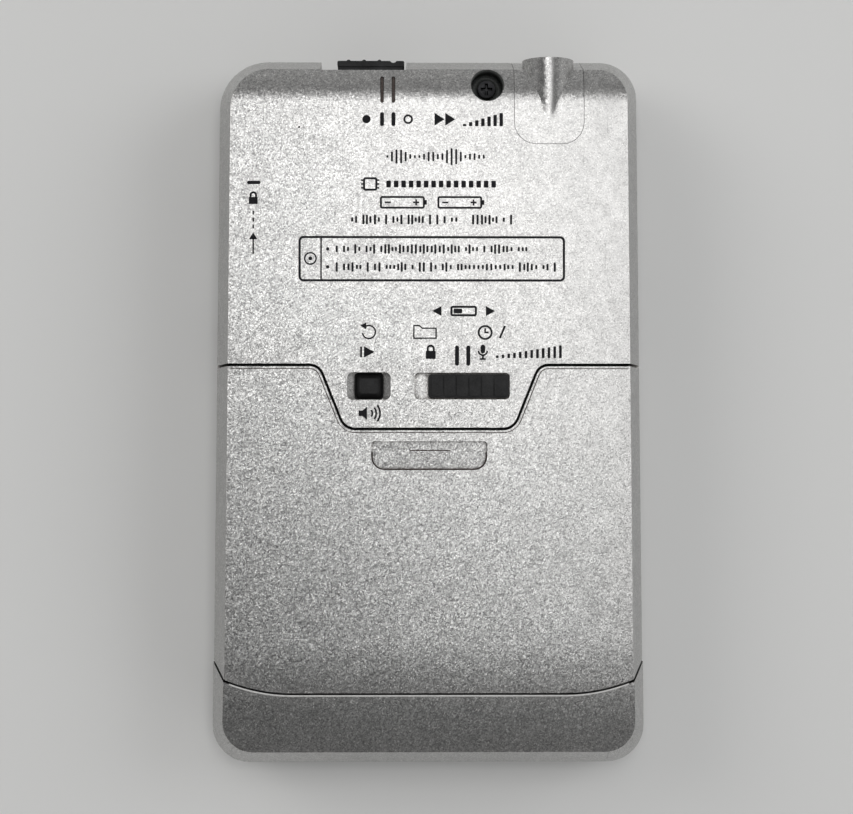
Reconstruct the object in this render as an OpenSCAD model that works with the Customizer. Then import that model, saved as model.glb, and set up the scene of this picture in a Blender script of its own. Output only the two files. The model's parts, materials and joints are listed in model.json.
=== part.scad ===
// Slim pocket voice recorder, lying on its front face: +Z out of the rear face,
// +Y towards the microphone end, +X to the right when looking at the rear face.

/* [Case] */
// Width of the case at its widest line, halfway along it
case_w = 56.6; // [56.2:0.1:58]
// How much each side leans out for each millimetre towards the bottom end
taper = 0.0075; // [0:0.0005:0.01]
// Length of the case
case_l = 93.6; // [93:0.1:95]
// Thickness of the case at its flat rear face
case_t = 14; // [14:0.1:15]
// Height of the widest line, where the front and rear shells part
part_z = 6.5; // [6.3:0.1:6.8]
// How far each rear side leans in from the widest line to the rear face
side_lean = 2.0; // [1.6:0.1:2.2]
// Thickness of the side walls
wall = 1.2; // [1:0.1:1.3]

/* [Battery door] */
// Where the straight arms of the door seam cross the case
arm_y = 6.0; // [5.6:0.05:6.1]
// Half width of the tongue at the arms
tongue_hw = 14.25; // [13.8:0.05:14.6]
// Half width of the tongue at its end
tongue_end_hw = 10.9; // [10.6:0.05:11.4]
// Where the tongue ends
tongue_y = -2.35; // [-2.6:0.05:-2.2]
// Gap between the rear shell and the door
door_gap = 0.36; // [0.3:0.02:0.5]
// Where the end cap meets the door on the centre line
cap_y = -37.25; // [-37.5:0.05:-36.8]

/* [Cells] */
// Diameter of one cell
cell_d = 10.5; // [10.2:0.1:10.5]
// Length of one cell with its button
cell_l = 44.5; // [44:0.1:44.5]
// Distance of each cell from the centre line
cell_x = 20.15; // [20.1:0.05:20.2]

/* [Controls] */
// Travel of the mode slide
mode_travel = 1.7; // [1.2:0.1:1.7]
// Travel of the speed slide
speed_travel = 2.0; // [1.5:0.1:2]
// Travel of each push button
press = 0.5; // [0.3:0.1:0.5]
// Radius of the volume wheel
wheel_r = 6.2; // [6:0.1:6.3]

/* [Sound] */
// Radius of the loudspeaker
speaker_r = 12.6; // [11:0.1:12.8]
// Radius of each plug hole
jack_r = 1.8; // [1.75:0.01:1.8]

/* [Hidden] */

silver = [0.76, 0.77, 0.75];
black = [0.1, 0.1, 0.11];
steel = [0.7, 0.7, 0.72];
brass = [0.8, 0.65, 0.3];
green = [0.1, 0.35, 0.2];

boss_end_y = 46.05;             // the microphone boss ends here
big = 80;                       // longer than the case, for cutting tools
steps = 10;                     // straight pieces in each rounded corner

// Rear profile
end_lean = 2.5;                 // how far the bottom end leans in at the rear face
top_lean = 2.5;                 // how far the top end leans in at the rear face
low_bend_y = -30;               // the rear face starts to fall away below this line
low_bend_r = 112;
top_bend_y = 40;                // and above this one
top_bend_r = 9;
corner_r = 5;                   // corners at the widest line
corner_tl_r = 6.5;              // and the one over the hold side
cap_proud = 0.1;                // the end cap is this much wider on each side
cap_z = 3;                      // the cap reaches down to here
cap_gap = 0.34;
cap_flat_hw = 17.8;             // its seam is straight this far from the centre line
cap_arc_r = 22;
cap_tilt = 7.9;

// Levels inside the case
plate = 1.2;                    // front plate
front_wall = 1.4;
rear_plate = 1.2;
cover_plate = 1.0;
cell_z = 6.75;
board_z = 7.2;
board_t = 0.8;
board_top = board_z + board_t;

// Rear controls
mode_y = 3.06;
rim_w = 0.36;                   // the door's edge has a rim this wide
rim_drop = 0.2;                 // and this far below its face
mode_x0 = -0.1;                 // left end of the knob at rest
mode_len = 10.5;
mode_wid = 3.1;
mode_rib = 1.64;                // pitch of the ribs on its top
mode_floor = 12.9;
ledge_z = 11;                   // foot of the lip along the door seam
replay_x = -7.86;
speed_x0 = -12.15;              // knob at rest
speed_x1 = -3.25;
notch_x0 = speed_x0 - speed_travel - 0.2;
notch_x1 = -2.95;
notch_y = 44.65;
front_notch_y = 45.6;
speed_stem_z = 8.3;
mark_x = [-6.16, -4.67];         // engraved marks over the speed slide

// Screws
screw_x = 7.65;
screw_y = 42.55;
screw_bore_r = 2.2;
screw_seat_z = 9.2;
board_screw_at = [[-21.8, 36.4], [21.8, 27.2]];

// Microphone insert
mic_x = 15.72;
mic_hw = 4.54;
mic_low_y = 34.8;
mic_gap = 0.06;
boss_r0 = 3.05;
boss_r1 = 3.4;
boss_y0 = 36.5;
boss_crest0 = 13.95;
boss_crest1 = 14.7;
mic_axis_z = 11.2;
mic_bore_r = 2.4;

// Front face
button_x = [-10, 0, 9.5];
button_y = [16, 7];
button_size = [7, 4.6];
switch_z = 6;                   // the front keys' switches reach down to here
key_gap_z = switch_z - 0.05;
replay_switch_z = 9.45;         // and the replay key's reaches up to here
lcd_y = 30.4;
lcd_size = [31, 14.5];
wheel_at = [-21.4, 11];
jack_z = 4.35;
jack_y = [9.6, 17.2];
speaker_at = [0, -22];
lamp_at = [21.6, 36.2];
hold_y = 28;
hold_travel = 2.0;

// --- shapes used by several pieces -------------------------------------------------

function arc(cx, cy, r, a0, a1, n = steps) =
  [for (i = [0:n]) let (a = a0 + (a1 - a0)*i/n) [cx + r*cos(a), cy + r*sin(a)]];

// The outline of the case at one level: [z, half width, low y, high y, radius, hold radius]
function ring(l) = let (low = l[1] - taper*l[2], high = l[1] - taper*l[3]) concat(
  arc(low - l[4], l[2] + l[4], l[4], -90, 0),
  arc(high - l[4], l[3] - l[4], l[4], 0, 90),
  arc(l[5] - high, l[3] - l[5], l[5], 90, 180),
  arc(l[4] - low, l[2] + l[4], l[4], 180, 270));

// A solid that passes through the outlines of all its levels
module drafted(levels) {
  pts = [for (l = levels) for (p = ring(l)) [p[0], p[1], l[0]]];
  hull() polyhedron(points = pts, faces = [[for (i = [0:len(pts) - 1]) i]]);
}

function rear_level(z, t) =
  let (k = (z - part_z)/(case_t - part_z))
  [z, case_w/2 - k*side_lean - t, -case_l/2 + k*end_lean + t, case_l/2 - k*top_lean - t,
   corner_r - k*1.1 - t*0.6, corner_tl_r - k*1.6 - t*0.6];

function front_level(z, inset) =
  [z, case_w/2 - inset, -case_l/2 + inset, case_l/2 - inset, corner_r - inset*0.5,
   corner_tl_r - inset*0.5];

// The rear face seen from the side, lowered by d
module crown_2d(d) {
  translate([low_bend_y, -1]) square([top_bend_y - low_bend_y, case_t - d + 1]);
  intersection() {
    translate([low_bend_y, case_t - low_bend_r]) circle(r = low_bend_r - d, $fn = 240);
    translate([low_bend_y - 20, -1]) square([20, case_t + 1]);
  }
  intersection() {
    translate([top_bend_y, case_t - top_bend_r]) circle(r = top_bend_r - d, $fn = 120);
    translate([top_bend_y, -1]) square([12, case_t + 1]);
  }
}

module crown(d) { rotate([90, 0, 90]) translate([0, 0, -big/2]) linear_extrude(big) crown_2d(d); }

// The rear half of the case, t inside its sides and d below its face
module rear_skin(t = 0, d = 0) {
  z0 = t > 0 ? part_z - 0.5 : part_z;
  intersection() {
    drafted([rear_level(z0, t), rear_level(case_t, t)]);
    crown(d);
  }
}

module front_skin() {
  drafted([front_level(0, 1.9), front_level(0.35, 1.25), front_level(1.2, 0.8), front_level(part_z, 0)]);
}

module front_hollow() {
  drafted([front_level(plate, 0.8 + front_wall), front_level(part_z + 0.5, front_wall - 0.08)]);
}

function unit(v) = v/norm(v);
function rounded_corner(a, p, b, r, n) =
  r <= 0 ? [p] :
  let (u = unit(a - p), v = unit(b - p), half = acos(u*v)/2, c = p + unit(u + v)*r/sin(half),
       s = p + u*r/tan(half) - c, e = p + v*r/tan(half) - c,
       a0 = atan2(s[1], s[0]), turn = (atan2(e[1], e[0]) - a0 + 540) % 360 - 180)
  [for (i = [0:n]) c + r*[cos(a0 + turn*i/n), sin(a0 + turn*i/n)]];

// A polygon whose corners [x, y, r] are rounded to their own radii
function rounded(c, n = 6) = [for (i = [0:len(c) - 1])
  let (k = len(c), a = c[(i + k - 1) % k], p = c[i], b = c[(i + 1) % k])
  each rounded_corner([a[0], a[1]], [p[0], p[1]], [b[0], b[1]], p[2], n)];

// A rectangle with its own low and high corner radii
function plate_outline(x0, x1, y0, y1, r_low, r_high, n = 6) =
  rounded([[x0, y0, r_low], [x1, y0, r_low], [x1, y1, r_high], [x0, y1, r_high]], n);

module slab(x0, x1, y0, y1, z0, z1, r = 0.3) {
  translate([0, 0, z0]) linear_extrude(z1 - z0) polygon(plate_outline(x0, x1, y0, y1, r, r));
}

module box(x0, x1, y0, y1, z0, z1) { translate([x0, y0, z0]) cube([x1 - x0, y1 - y0, z1 - z0]); }

module post(x, y, z0, z1, r) { translate([x, y, z0]) cylinder(r = r, h = z1 - z0, $fn = 48); }

// Everything on the rear shell's side of the door seam, grown by g
module shell_zone(g = 0) {
  w = 0.66*g;
  translate([0, 0, -1]) linear_extrude(big) polygon(rounded([
    [-40, 60, 0], [-40, arm_y - g, 0], [-tongue_hw - w, arm_y - g, 2 - g],
    [-tongue_end_hw - w, tongue_y - g, 1.9 + g], [tongue_end_hw + w, tongue_y - g, 1.9 + g],
    [tongue_hw + w, arm_y - g, 2 - g], [40, arm_y - g, 0], [40, 60, 0]], 8));
}

// Everything on the end cap's side of its seam, grown by g
function cap_rise(x) = pow(max(0, abs(x) - cap_flat_hw), 2)/(2*cap_arc_r);
module cap_zone(g = 0) {
  side = [for (i = [0:9]) cap_flat_hw + i*1.45];
  line = concat([for (i = [9:-1:0]) [-side[i], cap_rise(side[i])]], [for (x = side) [x, cap_rise(x)]]);
  intersection() {
    translate([0, cap_y + g, case_t]) rotate([cap_tilt, 0, 0]) translate([0, 0, -14])
      linear_extrude(18) polygon(concat([[-side[9], -20]], line, [[side[9], -20]]));
    box(-40, 40, -60, -20, cap_z - g, 20);
  }
}

// The tongue-shaped microphone insert's plan, grown by g
module mic_zone(g, z0, z1) {
  translate([0, 0, z0]) linear_extrude(z1 - z0)
    polygon(plate_outline(mic_x - mic_hw - g, mic_x + mic_hw + g, mic_low_y - g, 60, 2.8 + g, 0.1));
}

// The round microphone boss, r smaller all round
module boss(r = 0) {
  len = boss_end_y - boss_y0;
  z0 = boss_crest0 - boss_r0;
  z1 = boss_crest1 - boss_r1;
  a = atan2(z1 - z0, len);
  translate([mic_x, boss_y0, z0]) rotate([-90 + a, 0, 0])
    cylinder(r1 = boss_r0 - r, r2 = boss_r1 - r, h = len/cos(a) + 0.3, $fn = 72);
}

// --- case ---------------------------------------------------------------------------

module front_shell() { color(silver) {
  difference() {
    union() {
      difference() { front_skin(); front_hollow(); }
      box(notch_x0 - 1.2, notch_x1 + 1.2, 43.6, 45.9, plate - 0.1, part_z);
      post(screw_x, screw_y, plate - 0.1, 8.3, 2.3);
      for (p = board_screw_at) post(p[0], p[1], plate - 0.1, board_z, 1.8);
      wheel_wall();
    }
    cap_zone(cap_gap);
    box(notch_x0, notch_x1, front_notch_y, 50, plate, 10);
    post(screw_x, screw_y, 3, 10, 0.82);
    for (p = board_screw_at) post(p[0], p[1], 3, 10, 0.72);
    slab(-lcd_size[0]/2, lcd_size[0]/2, lcd_y - lcd_size[1]/2, lcd_y + lcd_size[1]/2, -1, 3, 1.2);
    for (x = button_x) for (y = button_y) button_hole(x, y);
    speaker_holes();
    for (y = jack_y) translate([24, y, jack_z]) rotate([0, 90, 0]) cylinder(r = 2.05, h = 6, $fn = 48);
    // wheel opening in the side wall, with a finger scoop in front of it
    box(-30, -25.4, wheel_at[1] - 4.2, wheel_at[1] + 4.2, 2.75, 5.65);
    translate([-33.6, wheel_at[1], 1.9]) cylinder(r = 6.9, h = 4.6 + 1, $fn = 96);
    // hold slide opening and its shallow recess
    box(-30, -26.9, hold_y - 4.2, hold_y + 4.2, 2.2, 6.1);
    box(-30, -24, hold_y - 2.4, hold_y + 0.4 + hold_travel, 3.5, 4.9);
    // rail grooves of the door
    for (s = [-1, 1]) box(s > 0 ? 25.5 : -27.35, s > 0 ? 27.35 : -25.5, -40, 3.4, 3.95, 5.05);
    post(lamp_at[0], lamp_at[1], -1, 3, 1.05);
  }
} }

module wheel_wall() {
  box(-26.4, -14.6, wheel_at[1] + 6.6, wheel_at[1] + 7.2, plate - 0.1, 5.4);
}

module button_hole(x, y) {
  slab(x - button_size[0]/2 - 0.15, x + button_size[0]/2 + 0.15,
       y - button_size[1]/2 - 0.15, y + button_size[1]/2 + 0.15, -1, 3, 1.35);
}

module speaker_holes() {
  for (ring = [0:4]) for (k = [0:max(0, ring*6 - 1)])
    post(speaker_at[0] + ring*2.1*cos(k*60/max(1, ring)), speaker_at[1] + ring*2.1*sin(k*60/max(1, ring)),
         -1, 3, 0.6);
}

module rear_shell() { color(silver) {
  difference() {
    union() {
      difference() { rear_skin(); rear_skin(wall, rear_plate); }
      intersection() {
        rear_skin(0.6, 0.6);
        union() {
          post(screw_x, screw_y, 8.4, 14, 3);
          box(notch_x0 - 1.2, notch_x1 + 1.2, 43.4, 46.5, part_z, 14);
          slab(-3.2, 12.2, 0.2, 6, 12, 13.5, 0.5);
          slab(replay_x - 3.6, replay_x + 3.2, 0.6, 5.8, 12.5, 13.5, 0.5);
        }
      }
    }
    difference() { translate([-50, -60, -5]) cube([100, 120, 30]); shell_zone(); }
    box(notch_x0, notch_x1, notch_y, 50, 5, 20);
    box(-11.15, -6.15, 40, 46.5, speed_stem_z - 0.2, speed_stem_z + 0.95);
    post(screw_x, screw_y, screw_seat_z, 20, screw_bore_r);
    post(screw_x, screw_y, 5, 20, 1.0);
    mic_zone(mic_gap, 6, 20);
    for (x = mark_x) slab(x - 0.25, x + 0.25, 40.1, 43.7, 11, 20, 0.24);
    mode_recess();
    replay_recess();
  }
  // the engraved marks have a floor
  intersection() {
    crown(0.25);
    for (x = mark_x) slab(x - 0.35, x + 0.35, 40, 43.8, 11.5, 20, 0.3);
  }
  door_ledge();
} }

// A lip that hangs from the shell's edge, and a shelf at its foot under the door
module door_ledge() {
  difference() {
    union() {
      seam_band(0, ledge_z, case_t - rear_plate + 0.1);
      seam_band(1.7, ledge_z, ledge_z + 0.6);
    }
    shell_zone(-1);
  }
}

module seam_band(g, z0, z1) {
  intersection() {
    translate([0, 0, z0]) linear_extrude(z1 - z0) square([47, 120], center = true);
    shell_zone(g);
  }
}

module mode_recess() {
  slab(mode_x0 - mode_travel - 0.12, mode_x0 + mode_len + 0.12, mode_y - 1.75, mode_y + 1.75, mode_floor, 20, 0.6);
  slab(2.5, 6.2, mode_y - 0.8, mode_y + 0.8, 11, 14, 0.2);
}

module replay_recess() {
  intersection() {
    slab(replay_x - 2.85, replay_x + 2.85, mode_y - 1.8, mode_y + 1.8, 12, 20, 0.75);
    translate([0, 10, 0]) rotate([90, 0, 0]) linear_extrude(20)
      polygon([[replay_x - 2.95, 20], [replay_x - 2.95, 13.9], [replay_x - 1.85, 13.1],
               [replay_x + 1.85, 13.1], [replay_x + 2.95, 13.9], [replay_x + 2.95, 20]]);
  }
  slab(replay_x - 1.9, replay_x + 1.9, mode_y - 1.8, mode_y + 1.8, 11, 20, 0.5);
}

module battery_cover() { color(silver) {
  difference() {
    union() {
      difference() { rear_skin(); rear_skin(wall, cover_plate); }
      slab(-8.8, 8.8, -9.2, -4.9, 12.2, 13.4, 0.6);
    }
    shell_zone(door_gap);
    difference() { shell_zone(door_gap + rim_w); crown(rim_drop); }
    cap_zone(cap_gap);
    thumb_recess();
  }
  for (s = [-1, 1]) rail(s);
} }

module thumb_recess() {
  intersection() {
    translate([0, 0, 12]) linear_extrude(5) polygon(plate_outline(-7.55, 7.55, -7.9, -4.15, 1.7, 0.4));
    rotate([90, 0, 90]) translate([0, 0, -10]) linear_extrude(20)
      polygon([[-8.2, 20], [-8.2, 13.3], [-4, 13.6], [-4, 20]]);
  }
}

module rail(s) {
  mirror([s > 0 ? 0 : 1, 0, 0]) {
    box(25.75, 27.2, -32.5, 3, 6.8, 8.2);
    box(25.75, 26.2, -32.5, 3, 4.15, 6.9);
    box(25.75, 27.15, -32.5, 3, 4.15, 4.85);
  }
}

module end_cap() { color(silver) {
  intersection() {
    cap_zone();
    difference() {
      cap_skin(0, 0);
      cap_skin(wall, cover_plate);
    }
  }
  // a tongue that reaches in under the door
  slab(-13.4, 13.4, -39.2, -34.6, 11.1, 11.8, 0.5);
  intersection() { slab(-13.4, 13.4, -39.2, -38.2, 11.1, 14, 0.4); crown(0.4); }
} }

module cap_skin(t, d) {
  out = cap_proud - t;
  function wide(l, w) = [l[0], l[1] + w, l[2], l[3], l[4], l[5]];
  intersection() {
    drafted([wide(front_level(cap_z - (t > 0 ? 0.5 : 0), 0.53 + t), cap_proud),
             wide(rear_level(part_z, t), cap_proud), wide(rear_level(case_t, t), cap_proud)]);
    crown(d);
  }
}

// --- microphone ---------------------------------------------------------------------

module mic_housing() { color(silver) {
  difference() {
    union() {
      intersection() {
        mic_zone(0, part_z + 0.3, 20);
        difference() { rear_skin(); rear_skin(wall, rear_plate); }
      }
      intersection() {
        boss();
        union() {
          box(mic_x - 5, mic_x + 5, 30, 44.4, board_top + 0.3, 20);
          box(mic_x - 5, mic_x + 5, 44.3, boss_end_y, 0, 20);
        }
      }
    }
    mic_bore();
  }
} }

module mic_bore() {
  translate([mic_x, 39.5, mic_axis_z]) rotate([-90, 0, 0]) cylinder(r = mic_bore_r, h = 10, $fn = 48);
  box(mic_x - 3.4, mic_x + 3.4, 30, 41, 0, 12.75);
}

module mic_grille() { color(black) {
  difference() {
    translate([mic_x, 45.2, mic_axis_z]) rotate([-90, 0, 0]) cylinder(r = mic_bore_r - 0.05, h = 0.7, $fn = 48);
    for (k = [0:6]) translate([mic_x, 44, mic_axis_z]) rotate([-90, 0, 0])
      translate([k == 0 ? 0 : 1.5*cos(k*60), k == 0 ? 0 : 1.5*sin(k*60), 0]) cylinder(r = 0.4, h = 3, $fn = 16);
  }
} }

module mic_boot() { color([0.15, 0.15, 0.15]) {
  translate([mic_x, 40.7, mic_axis_z]) rotate([-90, 0, 0]) difference() {
    cylinder(r = mic_bore_r - 0.05, h = 4.4, $fn = 48);
    translate([0, 0, -1]) cylinder(r = 1.9, h = 4, $fn = 48);
    cylinder(r = 1, h = 10, $fn = 24);
  }
} }

module mic_capsule() { color(steel) {
  translate([mic_x, 40.9, mic_axis_z]) rotate([-90, 0, 0]) cylinder(r = 1.85, h = 2.7, $fn = 48);
} }

// --- slides and buttons -------------------------------------------------------------

module speed_knob() { color(black) {
  difference() {
    union() {
      slab(speed_x0, speed_x1, front_notch_y + 0.15, 46.5, 3.4, 9.3, 0.2);
      box(speed_x0 + 0.2, speed_x1 - 0.2, notch_y + 0.2, 46, 6.7, 9.1);
      for (k = [0:2]) translate([speed_x0 + 1.5 + k*2.05, 46.4, 3.6]) cylinder(r = 0.3, h = 5.5, $fn = 24);
    }
    translate([-4.7, 46.75, 3]) cylinder(r = 0.5, h = 10, $fn = 24);
  }
  box(-8.85, -6.45, 40.95, notch_y + 0.5, speed_stem_z, speed_stem_z + 0.75);
} }

module speed_switch() { color(steel) {
  difference() {
    box(-12.3, -4.9, 39.6, 42.5, board_top, board_top + 2.3);
    box(-11.15, -6.15, 40.7, 43, speed_stem_z - 0.2, speed_stem_z + 0.95);
  }
} }

module mode_knob() { color(black) {
  x1 = mode_x0 + mode_len;
  slab(mode_x0, x1, mode_y - mode_wid/2, mode_y + mode_wid/2, mode_floor + 0.1, 13.95, 0.5);
  for (k = [0:5]) slab(mode_x0 + 0.4 + k*mode_rib, mode_x0 + 0.26 + (k + 1)*mode_rib,
                       mode_y - 1.3, mode_y + 1.3, 13.8, 14.12, 0.3);
  slab(4.45, 6.05, mode_y - 0.6, mode_y + 0.6, 10.2, mode_floor + 0.2, 0.15);
} }

module mode_switch() { color(steel) {
  difference() {
    box(0.6, 9.9, 0.8, 5.4, board_top, 11.2);
    slab(2.5, 6.2, mode_y - 0.8, mode_y + 0.8, 9.9, 12, 0.2);
  }
} }

module hold_knob() { color(black) {
  slab(-27.55, -27.05, hold_y - 3.0, hold_y + 2.0, 2.6, 5.7, 0.2);
  for (k = [0:3]) box(-27.75, -27.5, hold_y - 2.3 + k*1.1, hold_y - 1.9 + k*1.1, 2.8, 5.5);
  box(-27.2, -23.6, hold_y - 1.3, hold_y + 0.3, 3.8, 4.6);
} }

module hold_switch() { color(steel) {
  difference() {
    box(-25.2, -21.6, hold_y - 3.4, hold_y + 3.4, 3, board_z);
    box(-26, -23.3, hold_y - 2.4, hold_y + 0.4 + hold_travel, 3.5, 4.9);
  }
} }

module replay_button() { color(black) {
  hull() {
    slab(replay_x - 1.7, replay_x + 1.7, mode_y - 1.55, mode_y + 1.55, 12.4, 13.0, 0.5);
    slab(replay_x - 1.25, replay_x + 1.25, mode_y - 1, mode_y + 1, 13.35, 13.55, 0.4);
  }
  slab(replay_x - 2.3, replay_x + 2.3, mode_y - 2.1, mode_y + 2.1, 11.8, 12.4, 0.5);
  post(replay_x, mode_y, replay_switch_z + 0.1 + press, 11.9, 0.9);
} }

module front_button(x, y) {
  slab(x - button_size[0]/2, x + button_size[0]/2, y - button_size[1]/2, y + button_size[1]/2, 0.2, 1.6, 1.2);
  slab(x - button_size[0]/2 - 0.6, x + button_size[0]/2 + 0.6,
       y - button_size[1]/2 - 0.6, y + button_size[1]/2 + 0.6, 1.25, 1.85, 1.5);
  post(x, y, 1.8, key_gap_z - press, 1.2);
}

module record_button() { color([0.7, 0.1, 0.1]) front_button(button_x[0], button_y[0]); }
module play_button() { color(black) front_button(button_x[1], button_y[0]); }
module stop_button() { color(black) front_button(button_x[2], button_y[0]); }
module back_button() { color(black) front_button(button_x[0], button_y[1]); }
module forward_button() { color(black) front_button(button_x[1], button_y[1]); }
module erase_button() { color(black) front_button(button_x[2], button_y[1]); }

module tact_switches() { color(steel) {
  for (x = button_x) for (y = button_y) {
    slab(x - 2.2, x + 2.2, y - 2.2, y + 2.2, 6.2, board_z, 0.3);
    post(x, y, switch_z, 6.3, 1);
  }
  slab(replay_x - 2.2, replay_x + 2.2, mode_y - 2.2, mode_y + 2.2, board_top, 9.2, 0.3);
  post(replay_x, mode_y, 9.1, replay_switch_z, 0.8);
} }

module volume_wheel() { color(black) translate([wheel_at[0], wheel_at[1], 0]) {
  difference() {
    translate([0, 0, 3]) cylinder(r = wheel_r, h = 2.4, $fn = 96);
    for (k = [0:35]) rotate([0, 0, k*10]) translate([wheel_r + 0.1, 0, 2]) cylinder(r = 0.28, h = 5, $fn = 16);
  }
  translate([0, 0, 5.3]) cylinder(r = 1, h = 1.7, $fn = 32);
} }

module volume_control() { color(steel) translate([wheel_at[0], wheel_at[1], 0]) {
  difference() {
    slab(-3.4, 5.4, -4.2, 4.2, 5.7, board_z, 0.4);
    translate([0, 0, 5]) cylinder(r = 1.06, h = 5, $fn = 32);
  }
} }

module jack(y) {
  difference() {
    union() {
      box(14.6, 25.3, y - 3, y + 3, 1.6, 7.1);
      translate([25.2, y, jack_z]) rotate([0, 90, 0]) cylinder(r = 2.9, h = 0.5, $fn = 48);
    }
    translate([16, y, jack_z]) rotate([0, 90, 0]) cylinder(r = jack_r, h = 20, $fn = 48);
  }
}

module earphone_jack() { color(black) jack(jack_y[0]); }
module microphone_jack() { color(black) jack(jack_y[1]); }

// --- display ------------------------------------------------------------------------

module lcd_window() { color([0.6, 0.7, 0.7, 0.5]) {
  slab(-lcd_size[0]/2 + 0.1, lcd_size[0]/2 - 0.1, lcd_y - lcd_size[1]/2 + 0.1, lcd_y + lcd_size[1]/2 - 0.1, 0.15, 1.4, 1.1);
  slab(-16.3, 16.3, 22.4, 38.4, 1.25, 1.7, 0.8);
} }

module lcd_module() { color([0.5, 0.6, 0.5]) slab(-15.6, 15.6, 23.2, 37.6, 2.3, 4.2, 0.3); }

module lcd_connectors() { color([0.8, 0.3, 0.4]) {
  box(-15, 15, 23.4, 24.8, 4.25, board_z - 0.05);
  box(-15, 15, 36, 37.4, 4.25, board_z - 0.05);
} }

module lcd_holder() { color([0.85, 0.85, 0.82]) {
  difference() {
    slab(-17, 17, 22, 38.9, 1.8, 5.6, 0.6);
    slab(-15.7, 15.7, 23.1, 37.7, 2.25, 7, 0.2);
    slab(-14.8, 14.8, 24.2, 36.6, 1, 7, 0.2);
  }
} }

module record_lamp() { color([0.8, 0.1, 0.1]) {
  post(lamp_at[0], lamp_at[1], 0.15, 4, 0.95);
  slab(lamp_at[0] - 1.5, lamp_at[0] + 1.5, lamp_at[1] - 1.5, lamp_at[1] + 1.5, 3.9, board_z - 0.05, 0.3);
} }

// --- electronics --------------------------------------------------------------------

module main_board() { color(green) {
  difference() {
    union() {
      slab(-25, 25, 5.3, 42.8, board_z, board_top, 4.6);
      slab(-13.3, 13.3, -2.2, 12, board_z, board_top, 0.5);
    }
    post(screw_x, screw_y, 0, 20, 3.3);
    for (p = board_screw_at) post(p[0], p[1], 0, 20, 0.95);
  }
} }

module processor_chip() { color(black) slab(-9, 1, 20, 30, board_top, board_top + 1.4, 0.3); }

module memory_chips() { color(black) {
  for (y = [14, 24]) slab(6, 18.4, y - 4, y + 4, board_top, board_top + 1.1, 0.2);
} }

module capacitors() { color(brass) {
  for (p = [[-20, 22], [-20, 16.5], [-14, 35], [2, 35], [22.4, 18], [22.4, 34]])
    post(p[0], p[1], board_top, board_top + 3.4, 1.9);
} }

module crystal_can() { color(steel) slab(-17, -12.4, 8.4, 16, board_top, board_top + 2.4, 1.2); }

// --- loudspeaker --------------------------------------------------------------------

module speaker_frame() { color(steel) translate([speaker_at[0], speaker_at[1], 0]) {
  difference() {
    translate([0, 0, 1.75]) cylinder(r = speaker_r, h = 2.2, $fn = 96);
    translate([0, 0, 1]) cylinder(r = speaker_r - 0.6, h = 2.4, $fn = 96);
    translate([0, 0, 1]) cylinder(r = 5, h = 5, $fn = 48);
  }
} }

module speaker_cone() { color([0.2, 0.2, 0.2]) translate([speaker_at[0], speaker_at[1], 0]) {
  difference() {
    translate([0, 0, 2]) cylinder(r1 = speaker_r - 0.8, r2 = 4.4, h = 1.3, $fn = 96);
    translate([0, 0, 1.9]) cylinder(r1 = speaker_r - 1.4, r2 = 3.9, h = 1.2, $fn = 96);
  }
} }

module speaker_magnet() { color(steel) translate([speaker_at[0], speaker_at[1], 0]) {
  translate([0, 0, 4]) cylinder(r = 7.5, h = 3.4, $fn = 72);
  translate([0, 0, 3.4]) cylinder(r = 4.6, h = 0.7, $fn = 48);
} }

module speaker_gasket() { color([0.1, 0.1, 0.1]) translate([speaker_at[0], speaker_at[1], plate + 0.02]) {
  difference() { cylinder(r = speaker_r, h = 0.5, $fn = 96); translate([0, 0, -1]) cylinder(r = speaker_r - 1.3, h = 3, $fn = 96); }
} }

// --- power --------------------------------------------------------------------------

frame_x0 = 13.6;
frame_x1 = 14.4;
cell_wall_y = -43.95;
cell_y0 = -42;
cell_y1 = cell_y0 + cell_l;

module battery_frame() { color([0.12, 0.12, 0.13]) {
  for (s = [0, 1]) mirror([s, 0, 0]) {
    difference() {
      box(frame_x0, frame_x1, cell_wall_y, 4.6, plate + 0.05, 9.4);
      box(frame_x0 - 1, frame_x1 + 1, cell_wall_y + 0.6, -42.9, 3.3, 5.3);
    }
    box(frame_x0, 25.4, 3.8, 4.6, plate + 0.05, 9.4);
    box(frame_x0, 23, cell_wall_y, cell_wall_y + 0.6, plate + 0.05, 9.4);
    box(frame_x0, frame_x1 + 0.7, -43.2, -4.6, 9.3, 10);
  }
  box(-frame_x1, frame_x1, cell_wall_y, -4.6, 9.3, 10);
  box(-frame_x1, frame_x1, cell_wall_y, cell_wall_y + 0.6, plate + 0.05, 10);
} }

module cell() {
  r = cell_d/2;
  rotate([-90, 0, 0]) {
    translate([0, 0, 0.3]) cylinder(r = r, h = cell_l - 1.1, $fn = 96);
    cylinder(r = r - 1.2, h = 1, $fn = 64);
    cylinder(r = 1.9, h = cell_l, $fn = 48);
  }
}

module battery_left() { color(black) translate([-cell_x, cell_y0, cell_z]) cell(); }
module battery_right() { color(black) translate([cell_x, cell_y1, cell_z]) rotate([0, 0, 180]) cell(); }

module positive_contact() { color(steel) {
  box(-cell_x - 3.2, -cell_x + 3.2, 3.4, 3.78, 3, 9);
  translate([-cell_x, cell_y1 + 0.05, cell_z]) rotate([-90, 0, 0]) cylinder(r1 = 1.4, r2 = 2.2, h = 0.95, $fn = 32);
} }

module negative_spring() { color(steel) {
  box(cell_x - 3.2, cell_x + 3.2, 3.4, 3.78, 3, 9);
  for (k = [0:1]) translate([cell_x, 2.72 + k*0.42, cell_z]) rotate([-90, 0, 0]) difference() {
    cylinder(r = 2.4 + k*0.6, h = 0.46, $fn = 48);
    translate([0, 0, -1]) cylinder(r = 1.9, h = 3, $fn = 48);
  }
} }

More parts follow.
